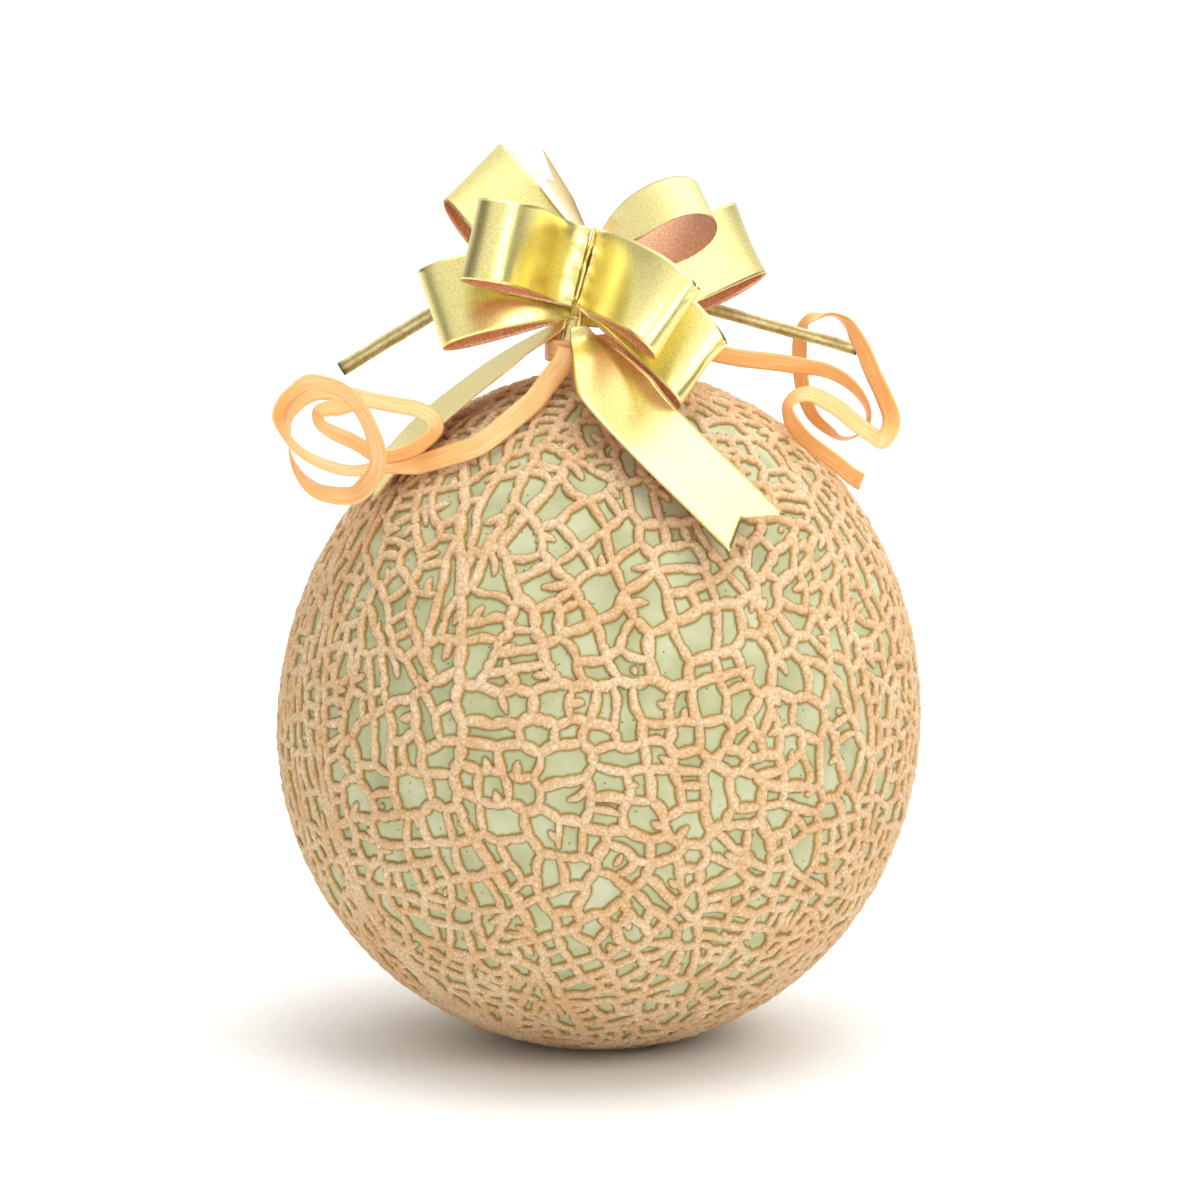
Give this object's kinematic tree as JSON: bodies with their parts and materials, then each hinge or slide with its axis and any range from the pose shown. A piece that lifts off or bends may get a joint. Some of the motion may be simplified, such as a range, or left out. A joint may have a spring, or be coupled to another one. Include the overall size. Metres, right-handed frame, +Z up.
{
  "type": "cantaloupe melon",
  "caption": "Netted melon on a small flat resting spot, with a dry T-shaped stem, a foil ribbon bow and curled ribbon ends.",
  "frame": {"origin": "centre of the melon's flat resting spot, on the surface that it stands on", "axes": "+Z up through the stem end; the bow faces -Y; +X to the right when the bow is seen from the front"},
  "size_m": [0.1556, 0.1549, 0.2145],
  "materials": {
    "melon_rind": "matte",
    "dry_vine": "matte",
    "gold_foil_ribbon": "satin",
    "orange_ribbon": "satin"
  },
  "bodies": {
    "root": {"melon": "melon_rind", "stem": "dry_vine", "bow_pinch": "gold_foil_ribbon", "bow_loop_front_left": "gold_foil_ribbon", "bow_loop_front_right": "gold_foil_ribbon", "bow_loop_low_left": "gold_foil_ribbon", "bow_loop_low_right": "gold_foil_ribbon", "bow_loop_high_left": "gold_foil_ribbon", "bow_loop_high_right": "gold_foil_ribbon", "bow_loop_back_right": "gold_foil_ribbon", "bow_tail_front": "gold_foil_ribbon", "bow_tail_left": "gold_foil_ribbon", "bow_tail_back": "gold_foil_ribbon", "tie_band": "orange_ribbon", "tie_curl_left": "orange_ribbon", "tie_curl_right": "orange_ribbon"}
  },
  "joints": []
}
